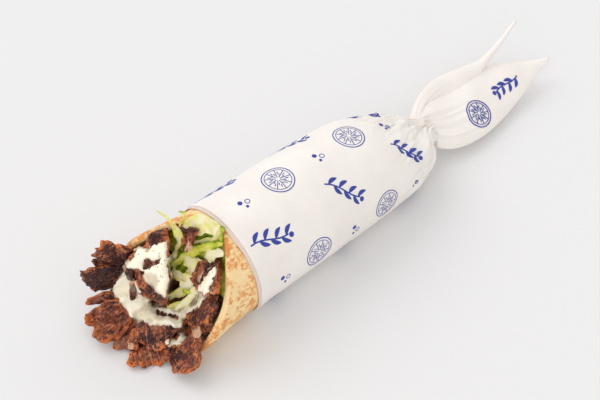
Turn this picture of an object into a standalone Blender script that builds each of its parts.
"""Gyro wrap: grilled meat slices, lettuce and sauce rolled in a flatbread, in a twisted paper sleeve.

The wrap lies along X on the plane z = 0. Its mouth faces -X and the paper's twisted tail points to +X.
The origin is on the flat strip that the sleeve rests on. Angles run round the roll in degrees: 0 is the
far side, 90 the top, 180 or -180 the near side and -90 the underside.
"""

import math

import bmesh
import bpy
import numpy as np
from mathutils import Vector, noise

MM = 0.001
GAP = 0.35 * MM

# The paper sleeve and the roll inside it
PAPER_WALL = 0.8 * MM
PAPER_RIM_X = -92 * MM
CAVITY_END_X = 50 * MM
PINCH_X = 68 * MM
PLEATS_START_X = 51 * MM
PLEATS = 9
PLEAT_DEPTH = 0.09
BREAD_WALL = 4.0 * MM
BREAD_EDGE_BULGE = 1.5 * MM
BREAD_END_X = CAVITY_END_X - GAP
FILLING_DEPTH = PAPER_WALL + 2 * GAP + BREAD_WALL
FILLING_END_X = BREAD_END_X - BREAD_WALL - GAP
SECTION_POINTS = 36
LOWER_SAG = 0.06

# Stations along the roll in mm: x, half width, height of the top, and height of the underside before the
# table flattens it. The mouth flares, and the far end flattens and runs into the twist.
STATIONS = (
    (-165, 41.0, 74, -9),
    (-145, 37.5, 69, -7),
    (-130, 35.0, 65, -5),
    (-112, 32.8, 61.8, -3.4),
    (-101, 31.9, 60.2, -3),
    (-92, 31.8, 60, -3),
    (-60, 32.0, 60, -3),
    (-30, 32.0, 59, -3),
    (0, 31.5, 57, -3),
    (20, 30.5, 53.5, -3),
    (35, 29.0, 49, -2.5),
    (48, 25.5, 43, -1),
    (55, 20.0, 37, 4),
    (61, 12.0, 31.5, 9),
    (68, 8.0, 28.5, 12.5),
)

# The flatbread's slanted mouth: angle and the rim's x in mm
BREAD_RIM = ((-265, -91), (-210, -108), (-152, -126), (-120, -131), (-60, -132), (0, -131), (25, -126),
             (50, -111), (95, -91))

# The tail's two ears: a spine in mm with each ear's half width and half thickness, and its roll in degrees
NEAR_EAR = ((62, 1, 20.5, 9, 6.5), (70, 1.5, 18.5, 12.5, 6.5), (76, -0.5, 16.7, 16, 6.5), (85, -3, 14.8, 17.3, 6.2),
            (97, -4.1, 13.5, 17.5, 5.8), (110, -3.2, 13, 17.6, 5.2), (131, -0.6, 13, 17, 4.4),
            (151, -2.3, 13.5, 11.7, 3.4), (165, -4.6, 14, 5.6, 2.4), (179, -6.6, 14.5, 1.3, 1.2))
NEAR_EAR_ROLL = -25
FAR_EAR = ((62, 2, 21, 8, 5.5), (73, 9, 20.5, 8, 4.6), (83, 12.9, 20.5, 8.6, 3.8), (95, 14.1, 20.5, 10, 3.6),
           (110, 13.4, 20.5, 9, 3.6), (124, 13.7, 21.5, 6, 3.4), (134, 13.3, 24, 3.2, 2.8),
           (151, 15.1, 28.5, 2, 1.8), (174, 20.2, 33, 1.1, 1.1))
FAR_EAR_ROLL = -48
EAR_POINTS = 12
TAIL_CLEAR = 0.3 * MM

# The packed fillings. Lettuce fills the roll above the level and ends on a slant, meat fills it below and
# narrows where the slices fan out round it.
LETTUCE_LEVEL = 34 * MM
LETTUCE_LEAST = 6 * MM
LETTUCE_FRONT_X = -96 * MM
LETTUCE_FRONT_Z = 54 * MM
LETTUCE_SLOPE = 0.75
MEAT_FRONT_X = -106 * MM
NECK_START_X = -86 * MM
NECK_LENGTH = 14 * MM

# Meat slices. Those in layer 0 lie against the bread, layer 1 lies inside them, and the pool of sauce inside
# both.
LAYER_DEPTH = 8.2 * MM
LAYER_STEP = 5.0 * MM
NECK_DEPTH = 2 * LAYER_STEP + 0.5 * MM
CURL_LENGTH = 8 * MM
FLOOR_CLEAR = 2.4 * MM
SLICE_WALL = 3.6 * MM
SLICE_RIM_SHARE = 0.4
SLICE_POINTS = 22
SLICE_RINGS = (0.45, 0.8, 1.0)
TORN = 0.12
CRAG = 0.8 * MM
CRAG_SIZE = 5 * MM

# Fanned slices: name, layer, how steeply the slice curls out past the bread's rim, and its outline as x in
# mm and angle
FANNED = (
    ("meat_back_top", 0, 0.9,
     ((-141, 30), (-136, 31), (-131, 31), (-130, 12), (-138, 8), (-145, 11), (-146, 16))),
    ("meat_back", 0, 0.7,
     ((-153, -7), (-147, 4), (-134, 4), (-108, 2), (-107, -14), (-136, -21), (-148, -22))),
    ("meat_left_top", 0, 0.6,
     ((-153, -29), (-145, -26), (-110, -28), (-109, -35), (-142, -38), (-154, -33))),
    ("meat_left", 1, 0.45,
     ((-159, -38), (-150, -30), (-125, -30), (-109, -36), (-109, -52), (-138, -61), (-151, -73), (-164, -71),
      (-161, -52))),
    ("meat_left_low", 0, 0.5,
     ((-158, -76), (-145, -62), (-110, -50), (-109, -72), (-148, -84), (-155, -83))),
    ("meat_low", 1, 0.4,
     ((-149, -78), (-130, -74), (-109, -77), (-109, -107), (-129, -118), (-143, -117), (-151, -90))),
    ("meat_floor", 0, 0.5,
     ((-160, -93), (-148, -89), (-110, -88), (-109, -112), (-139, -119), (-151, -109))),
)

# Slices laid on a slope: name, middle in mm, direction of the length, direction of the width, and the
# outline as along and across in mm
LAID = (
    ("meat_front_low", (-134, -26, 13), (-0.83, 0.07, -0.56), (-0.11, -0.99, 0.04),
     ((14, -3), (6, -8), (-9, -6), (-12, -2), (-9, 4), (0, 9), (10, 7), (15, 2))),
    ("meat_front", (-121.4, -16.5, 23.2), (-0.53, 0.45, -0.72), (-0.60, -0.80, -0.06),
     ((9, -4), (3, -7), (-6, -9), (-14, -3), (-13, 5), (-3, 9), (5, 6))),
    ("meat_front_top", (-110.9, -16, 44), (-0.55, 0.47, -0.69), (-0.58, -0.81, -0.09),
     ((13, -4), (6, -11), (-4, -8), (-10, -1), (-9, 9), (-2, 12), (8, 5))),
    ("meat_centre", (-127.9, 14, 41.9), (-0.54, -0.59, -0.60), (0.57, -0.78, 0.26),
     ((-18, 11), (-18, 5), (-11, -1), (-4, -9.5), (4, -12), (14, -5), (20, 6), (18, 12), (4, 12))),
    ("meat_fold", (-106.1, 7.0, 51.6), (-0.83, 0.12, -0.54), (-0.04, -0.99, -0.15),
     ((1, -4), (-4, -2), (-3, 3), (3, 4), (6, 2), (4, -3))),
)
LAID_DISH = 0.006
RIM_LEEWAY = 3.2 * MM
LAID_RELEASE = 1.2

# Thick sauce lying on those slices: the slice, and the outline as along and across in mm
DABS = (
    ("meat_centre", ((-11, 9), (-10, 3), (-4, -8), (3, -11), (9, -4), (16, 3), (15, 9), (0, 9))),
    ("meat_front", ((9, -5), (-4, -7), (-11, -4), (-10, 0), (-2, 0), (8, 0))),
    ("meat_front_top", ((9, -5), (2, -8), (-7, -3), (-5, 1), (3, 1), (8, 0))),
)
DAB_WALL = 1.8 * MM
DAB_SINK = 0.4
DAB_POINTS = 16
DAB_RIM_SHARE = 0.7

# The shred of meat that hangs from the middle slice over the pool: its middle line in mm, and its half width
SHRED = ((-132, 20, 40), (-136.5, 19, 38.5), (-140, 16.5, 33.5), (-142, 14, 27.5))
SHRED_HALF_WIDTH = 2.6
SHRED_WALL = 2.6 * MM
SHRED_FACING = Vector((-0.6, -0.35, 0.7))

# The pool of sauce: its middle line as x in mm and angle, with its half width in mm
POOL = ((-134, -8, 3), (-137, -22, 6), (-138, -40, 8), (-138, -58, 9), (-137, -74, 9), (-136, -88, 7),
        (-135, -98, 5), (-134, -105, 2.5))
POOL_LAYER = 2
POOL_CURL = 0.35
POOL_WALL = 2.6 * MM
POOL_STEPS = 18

# Lettuce strips at the mouth: half width in mm, and the middle line in mm
STRIPS = (
    (0.9, ((-103, 20, 44), (-107, 20, 50), (-111, 20, 57), (-114, 25, 66))),
    (2.6, ((-103, 19, 47), (-106, 14, 46), (-109, 11, 42), (-111, 13, 36))),
    (0.9, ((-97, 19, 53), (-99, 18, 52.5), (-102, 18, 49))),
    (3.2, ((-99, 14, 51), (-98, 9, 52.5), (-96, 3, 53.5), (-95, -3, 53.5))),
    (2.0, ((-94, -1, 53), (-97, -4, 53), (-99, -7, 52))),
    (1.5, ((-94, -7, 53), (-95, -10, 52), (-96, -13, 51))),
    (1.5, ((-103, 5, 47.5), (-101, 1, 50), (-99, -4, 52))),
    (2.8, ((-113, 12, 34), (-107, 5, 42), (-102, -4, 48), (-96, -12, 52))),
    (2.0, ((-101, -9, 48.5), (-99, -12, 50), (-97, -15, 50))),
    (2.8, ((-109, 9, 38), (-108, 4, 39), (-106, 0, 42))),
    (2.4, ((-104, 0, 41), (-110, -1, 36), (-117, -1, 29), (-122, 2, 24))),
    (2.2, ((-110, 7, 38), (-115, 6, 33), (-120, 7, 28))),
    (1.6, ((-108, -5, 37), (-113, -6, 32), (-117, -5, 28))),
)
STRIP_WALL = 1.5 * MM
STRIP_LIFT = 0.8
STRIP_CURL = 0.12
STRIP_STEPS = 7
STRIP_END_SHARE = 0.55
STRIP_DEPTH = 7.2 * MM
STRIP_RELEASE = 4


def clear_scene():
    for obj in list(bpy.data.objects):
        bpy.data.objects.remove(obj, do_unlink=True)


def smooth_table(table, at):
    """The other columns of a table where its first column is at, along a smooth curve through its rows."""
    firsts = [row[0] for row in table]
    last = len(table) - 1
    at = min(max(at, firsts[0]), firsts[-1])
    i = max(k for k in range(last) if firsts[k] <= at)
    before, here, after, later = (table[min(max(k, 0), last)] for k in (i - 1, i, i + 1, i + 2))
    span = after[0] - here[0]
    share = (at - here[0]) / span
    slope_in = (np.array(after[1:]) - before[1:]) / (after[0] - before[0]) * span
    slope_out = (np.array(later[1:]) - here[1:]) / (later[0] - here[0]) * span
    square, cube = share**2, share**3
    return (
        (2 * cube - 3 * square + 1) * np.array(here[1:])
        + (cube - 2 * square + share) * slope_in
        + (3 * square - 2 * cube) * np.array(after[1:])
        + (cube - square) * slope_out
    )


def smooth_line(points, steps):
    """Evenly spaced rows along a smooth curve through points of any size."""
    table = [(i, *point) for i, point in enumerate(points)]
    return [smooth_table(table, place) for place in np.linspace(0, len(points) - 1, steps)]


def closed_curve(points, count):
    """Points along a smooth closed curve through the points given."""
    points = [np.array(point, float) for point in points]
    total = len(points)
    curve = []
    for place in np.linspace(0, total, count, endpoint=False):
        i = int(place)
        s = place - i
        before, here, after, later = (points[(i + j) % total] for j in (-1, 0, 1, 2))
        bend = 2 * before - 5 * here + 4 * after - later
        twist = 3 * here - before - 3 * after + later
        curve.append(0.5 * (2 * here + (after - before) * s + bend * s**2 + twist * s**3))
    return curve


def section(x):
    """The roll's half width, half height and middle height at x, in metres."""
    half, top, low = smooth_table(STATIONS, x / MM) * MM
    return half, (top - low) / 2, (top + low) / 2


def roll_point(x, angle, depth, floor=None):
    """A point of the roll's section at x, moved in from the outside by depth and never below floor."""
    half, height, middle = section(x)
    side = math.cos(angle)
    sag = LOWER_SAG * max(0.0, -math.sin(angle)) * half
    y = (half - depth) * side + math.copysign(sag * math.sqrt(abs(side)), side)
    z = middle + (height - depth) * math.sin(angle)
    return Vector((x, y, max(z, depth if floor is None else floor)))


def rim_x(angle):
    """The x of the flatbread's rim at an angle round the roll."""
    degrees = math.degrees(angle)
    while degrees > BREAD_RIM[-1][0]:
        degrees -= 360
    while degrees < BREAD_RIM[0][0]:
        degrees += 360
    return float(smooth_table(BREAD_RIM, degrees)[0]) * MM


def around():
    return [2 * math.pi * k / SECTION_POINTS for k in range(SECTION_POINTS)]


def loft(name, rings):
    """A closed mesh through rings of points, with a fan of triangles at each end."""
    mesh = bpy.data.meshes.new(name)
    bm = bmesh.new()
    rows = [[bm.verts.new(point) for point in ring] for ring in rings]
    count = len(rings[0])
    for near, far in zip(rows, rows[1:]):
        for k in range(count):
            bm.faces.new((near[k], near[k - 1], far[k - 1], far[k]))
    for row in (rows[0], rows[-1]):
        hub = bm.verts.new(sum((v.co for v in row), Vector()) / count)
        for k in range(count):
            bm.faces.new((row[k - 1], row[k], hub))
    bmesh.ops.triangulate(bm, faces=bm.faces[:])
    bmesh.ops.recalc_face_normals(bm, faces=bm.faces[:])
    bm.to_mesh(mesh)
    bm.free()
    return mesh


def material(name, colour, roughness):
    mat = bpy.data.materials.new(name)
    mat.use_nodes = True
    shader = mat.node_tree.nodes["Principled BSDF"]
    shader.inputs["Base Color"].default_value = (*colour, 1.0)
    shader.inputs["Roughness"].default_value = roughness
    shader.inputs["Metallic"].default_value = 0.0
    return mat


def place(name, mesh, mat, collection):
    """Adds a node: an object with its mesh, its material and smooth shading."""
    obj = bpy.data.objects.new(name, mesh)
    mesh.materials.append(mat)
    mesh.shade_smooth()
    mesh.set_sharp_from_angle(angle=math.radians(50))
    collection.objects.link(obj)
    return obj


def apply_modifiers(obj):
    """Replaces an object's mesh with what its modifiers make of it. A loose object is linked meanwhile."""
    loose = not obj.users_collection
    if loose:
        bpy.context.scene.collection.objects.link(obj)
    bpy.context.view_layer.update()
    graph = bpy.context.evaluated_depsgraph_get()
    obj.data = bpy.data.meshes.new_from_object(obj.evaluated_get(graph))
    obj.modifiers.clear()
    if loose:
        bpy.context.scene.collection.objects.unlink(obj)


def fuse(obj, others):
    """Joins other objects to obj with one Boolean union on a collection, then removes them."""
    helpers = bpy.data.collections.new("joined_pieces")
    bpy.context.scene.collection.children.link(helpers)
    for other in others:
        helpers.objects.link(other)
    union = obj.modifiers.new("join", "BOOLEAN")
    union.operation = "UNION"
    union.operand_type = "COLLECTION"
    union.collection = helpers
    union.solver = "MANIFOLD"
    apply_modifiers(obj)
    for other in others:
        bpy.data.objects.remove(other, do_unlink=True)
    bpy.data.collections.remove(helpers)


def paper_sleeve():
    """The sleeve, from its cavity's closed end out to the rim and back outside to the pleated twist."""
    inner_x = (CAVITY_END_X, *(x * MM for x in (45, 39, 31, 20, 0, -40)), PAPER_RIM_X)
    outer_x = (PAPER_RIM_X, *(x * MM for x in (-66, -40, -15, 5, 20, 31, 39, 45, 50, 55.5, 61)), PINCH_X)
    rings = [[roll_point(x, a, PAPER_WALL) for a in around()] for x in inner_x]
    for x in outer_x:
        depth = PLEAT_DEPTH * max(0.0, (x - PLEATS_START_X) / (PINCH_X - PLEATS_START_X))
        centre = (roll_point(x, math.pi / 2, 0) + roll_point(x, -math.pi / 2, 0)) / 2
        ring = []
        for a in around():
            pleat = 1 - depth * (1 + math.cos(PLEATS * a))
            ring.append(centre.lerp(roll_point(x, a, 0), pleat))
        rings.append(ring)
    return loft("paper", rings)


def ear(name, stations, roll):
    """One ear of the paper's tail: flattened sections square to a curved spine, rolled about it."""
    spine = [Vector(row[:3]) * MM for row in stations]
    roll = math.radians(roll)
    rings = []
    for i, (point, row) in enumerate(zip(spine, stations)):
        along = (spine[min(i + 1, len(spine) - 1)] - spine[max(i - 1, 0)]).normalized()
        level = along.cross(Vector((0, 0, 1))).normalized()
        rise = level.cross(along)
        wide = (level * math.cos(roll) + rise * math.sin(roll)) * row[3] * MM
        thick = (rise * math.cos(roll) - level * math.sin(roll)) * row[4] * MM
        ring = []
        for k in range(EAR_POINTS):
            a = 2 * math.pi * k / EAR_POINTS
            spot = point + wide * math.cos(a) + thick * math.sin(a)
            spot.z = max(spot.z, TAIL_CLEAR)
            ring.append(spot)
        rings.append(ring)
    return bpy.data.objects.new(name, loft(name, rings))


def flatbread():
    """The rolled flatbread: a tube closed at the far end, with a slanted, uneven rim at the mouth."""
    outside = PAPER_WALL + GAP
    inside = outside + BREAD_WALL
    shares = (0.0, 0.1, 0.24, 0.45, 0.68, 0.8, 0.87, 0.92, 0.96, 1.0)

    def ring(share, end, depth):
        return [roll_point(rim_x(a) + share * (end - rim_x(a)), a, depth) for a in around()]

    edge = []
    for a in around():
        wave = (0.5 * math.sin(5 * a + 1) + 0.35 * math.sin(11 * a)) * MM
        middle = roll_point(rim_x(a), a, (inside + outside) / 2)
        edge.append(middle + Vector((wave - BREAD_EDGE_BULGE, 0, 0)))
    inner = [ring(share, BREAD_END_X - BREAD_WALL, inside) for share in reversed(shares)]
    outer = [ring(share, BREAD_END_X, outside) for share in shares]
    return loft("flatbread", [*inner, edge, *outer])


def filling_ring(x, inwards, upper):
    """The closed section of a filling at x: the roll's inside above the dividing level, or below it."""
    _, height, middle = section(x)
    depth = FILLING_DEPTH + inwards
    height -= depth
    level = min(LETTUCE_LEVEL, middle + height - LETTUCE_LEAST) - (0 if upper else GAP)
    edge = math.asin((level - middle) / height)
    turn = (edge, math.pi - edge) if upper else (math.pi - edge, 2 * math.pi + edge)
    arc = [roll_point(x, a, depth) for a in np.linspace(*turn, 15)]
    return [*arc, *(arc[-1].lerp(arc[0], share) for share in (0.25, 0.5, 0.75))]


def filling_stations():
    return (FILLING_END_X, *(x * MM for x in (40, 32, 22, 5, -30, -84)))


def meat_core():
    rings = []
    for x in (*filling_stations(), NECK_START_X - NECK_LENGTH, MEAT_FRONT_X):
        neck = max(0.0, min(1.0, (NECK_START_X - x) / NECK_LENGTH))
        rings.append(filling_ring(x, neck * NECK_DEPTH, False))
    return loft("meat_core", rings)


def lettuce_core():
    rings = [filling_ring(x, 0, True) for x in filling_stations()]
    cut = []
    for point in filling_ring(LETTUCE_FRONT_X, 0, True):
        point.x = LETTUCE_FRONT_X - (LETTUCE_FRONT_Z - point.z) * LETTUCE_SLOPE
        cut.append(point)
    return loft("lettuce", [*rings, cut])


def fan_point(x, angle, layer, steepness):
    """A point of a fanned layer: it follows the roll as far as the bread's rim, then curls out over it."""
    past = max(0.0, rim_x(angle) - x)
    curl = steepness * past * past / (past + CURL_LENGTH)
    floor = max(FLOOR_CLEAR, LAYER_DEPTH - curl) + layer * LAYER_STEP
    return roll_point(x, angle, LAYER_DEPTH + layer * LAYER_STEP - curl, floor)


def kept_inside(point, depth, release):
    """Moves a point in to a depth inside the roll, less as it lies further past the bread's rim."""
    half, height, middle = section(point.x)
    angle = math.atan2((point.z - middle) / (height - depth), point.y / (half - depth))
    past = max(0.0, rim_x(angle) - point.x - RIM_LEEWAY)
    limit = roll_point(point.x, angle, depth - past * release, 0)
    axis = Vector((point.x, 0, middle))
    reach = (limit - axis).length / max((point - axis).length, MM)
    return axis.lerp(point, min(reach, 1))


def slope_of(row):
    """The function that lays a slice's own along and across, in mm, on its slope in the roll."""
    middle, along_axis, across_axis = Vector(row[1]) * MM, Vector(row[2]).normalized(), Vector(row[3])
    across_axis = (across_axis - along_axis * along_axis.dot(across_axis)).normalized()
    out = along_axis.cross(across_axis)

    def lay(along, across, lift=0.0):
        dish = LAID_DISH * (along * along + across * across)
        point = middle + (along_axis * along + across_axis * across + out * dish) * MM
        return kept_inside(point, LAYER_DEPTH, LAID_RELEASE) + out * lift

    return lay


def torn_sheet(name, outline, lay, seed, torn, count):
    """An open sheet inside a smooth outline whose rim is torn by seeded noise, laid in space by lay."""
    rim = closed_curve(outline, count)
    middle = sum(rim) / count
    bm = bmesh.new()
    hub = bm.verts.new(lay(*middle))
    rows = []
    for share in SLICE_RINGS:
        row = []
        for k, point in enumerate(rim):
            tear = 1 + torn * share**3 * noise.noise(Vector((k * 0.83, seed * 5.1, 0.5)))
            row.append(bm.verts.new(lay(*(middle + (point - middle) * share * tear))))
        rows.append(row)
    for k in range(count):
        bm.faces.new((hub, rows[0][k - 1], rows[0][k]))
        for near, far in zip(rows, rows[1:]):
            bm.faces.new((near[k - 1], far[k - 1], far[k], near[k]))
    mesh = bpy.data.meshes.new(name)
    bm.to_mesh(mesh)
    bm.free()
    return mesh


def ribbon_sheet(name, rows):
    """An open sheet through rows of points of equal length."""
    bm = bmesh.new()
    rows = [[bm.verts.new(point) for point in row] for row in rows]
    for near, far in zip(rows, rows[1:]):
        for k in range(1, len(near)):
            bm.faces.new((near[k - 1], far[k - 1], far[k], near[k]))
    mesh = bpy.data.meshes.new(name)
    bm.to_mesh(mesh)
    bm.free()
    return mesh


def thicken(obj, wall, rim_points=0, rim_share=1.0):
    """Gives a sheet its thickness. Its last rim_points vertices, which are the rim, get a share of it."""
    solid = obj.modifiers.new("wall", "SOLIDIFY")
    solid.thickness = wall
    solid.offset = 0.0
    if rim_points:
        inner = obj.vertex_groups.new(name="full_thickness")
        inner.add(range(len(obj.data.vertices) - rim_points), 1.0, "REPLACE")
        solid.vertex_group = inner.name
        solid.thickness_vertex_group = rim_share


def roughen(obj):
    """Craggy relief on a slice."""
    cloud = bpy.data.textures.new("crags", "CLOUDS")
    cloud.noise_scale = CRAG_SIZE
    crags = obj.modifiers.new("crags", "DISPLACE")
    crags.texture = cloud
    crags.texture_coords = "GLOBAL"
    crags.strength = CRAG


def sauce_pool():
    rows = []
    for x, angle, half in smooth_line(POOL, POOL_STEPS):
        half += 0.6 * math.sin(angle * 0.35)
        across = [(x + side * half) * MM for side in (-1, -0.6, 0, 0.6, 1)]
        rows.append([fan_point(at, math.radians(angle), POOL_LAYER, POOL_CURL) for at in across])
    return ribbon_sheet("sauce_pool", rows)


def strip(name, half_width, line, facing, wall, lay):
    """A thin ribbon along a middle line in mm, turned to facing, narrower towards its ends and curled."""
    points = [Vector(point) for point in smooth_line(line, STRIP_STEPS)]
    rows = []
    for i, point in enumerate(points):
        ahead = points[min(i + 1, STRIP_STEPS - 1)] - points[max(i - 1, 0)]
        side = facing.cross(ahead).normalized()
        taper = math.sin(math.pi * i / (STRIP_STEPS - 1))
        half = half_width * (STRIP_END_SHARE + (1 - STRIP_END_SHARE) * taper)
        curl = facing * STRIP_CURL * half * half / max(half_width, 1)
        edges = (point + side * half + curl, point, point - side * half + curl)
        rows.append([lay(edge * MM) for edge in edges])
    obj = bpy.data.objects.new(name, ribbon_sheet(name, rows))
    thicken(obj, wall)
    apply_modifiers(obj)
    return obj


def lettuce_strips():
    facing = Vector((-1, 0, LETTUCE_SLOPE)).normalized()

    def lay(point):
        return kept_inside(point + facing * STRIP_LIFT * MM, STRIP_DEPTH, STRIP_RELEASE)

    return [strip("strip", half_width, line, facing, STRIP_WALL, lay) for half_width, line in STRIPS]


def dab(outline, lay, seed):
    """A flat dab of thick sauce, sunk a little into the slice under it."""
    lift = (SLICE_WALL + DAB_WALL) / 2 - DAB_SINK * DAB_WALL

    def lifted(along, across):
        return lay(along, across, lift)

    sheet = torn_sheet("dab", outline, lifted, seed, TORN / 2, DAB_POINTS)
    obj = bpy.data.objects.new("dab", sheet)
    thicken(obj, DAB_WALL, DAB_POINTS, DAB_RIM_SHARE)
    apply_modifiers(obj)
    return obj


def add_slices(charred, wrap):
    """Adds every slice, and gives back the laid ones with the functions that lay things on them."""
    seed = 0
    for name, layer, steepness, outline in FANNED:
        seed += 1

        def lay(x, angle, layer=layer, steepness=steepness):
            return fan_point(x * MM, math.radians(angle), layer, steepness)

        obj = place(name, torn_sheet(name, outline, lay, seed, TORN, SLICE_POINTS), charred, wrap)
        thicken(obj, SLICE_WALL, SLICE_POINTS, SLICE_RIM_SHARE)
        roughen(obj)
    laid = {}
    for row in LAID:
        seed += 1
        name, lay = row[0], slope_of(row)
        obj = place(name, torn_sheet(name, row[4], lay, seed, TORN, SLICE_POINTS), charred, wrap)
        thicken(obj, SLICE_WALL, SLICE_POINTS, SLICE_RIM_SHARE)
        roughen(obj)
        laid[name] = (obj, lay)
    return laid


def build():
    clear_scene()
    wrap = bpy.data.collections.new("gyro_wrap")
    bpy.context.scene.collection.children.link(wrap)

    white_paper = material("greaseproof_paper", (0.86, 0.83, 0.80), 0.6)
    bread = material("toasted_flatbread", (0.75, 0.52, 0.28), 0.75)
    charred = material("grilled_meat", (0.14, 0.05, 0.03), 0.5)
    leaf = material("lettuce", (0.35, 0.5, 0.12), 0.4)
    cream = material("sauce", (0.85, 0.78, 0.62), 0.3)

    paper = place("paper", paper_sleeve(), white_paper, wrap)
    fuse(paper, [ear("near_ear", NEAR_EAR, NEAR_EAR_ROLL), ear("far_ear", FAR_EAR, FAR_EAR_ROLL)])
    place("flatbread", flatbread(), bread, wrap)
    place("meat_core", meat_core(), charred, wrap)
    lettuce = place("lettuce", lettuce_core(), leaf, wrap)
    fuse(lettuce, lettuce_strips())

    laid = add_slices(charred, wrap)
    for seed, (name, outline) in enumerate(DABS):
        obj, lay = laid[name]
        extras = [dab(outline, lay, seed)]
        if name == "meat_centre":
            extras.append(strip("shred", SHRED_HALF_WIDTH, SHRED, SHRED_FACING, SHRED_WALL, Vector))
        apply_modifiers(obj)
        fuse(obj, extras)

    pool = place("sauce_pool", sauce_pool(), cream, wrap)
    thicken(pool, POOL_WALL)


build()
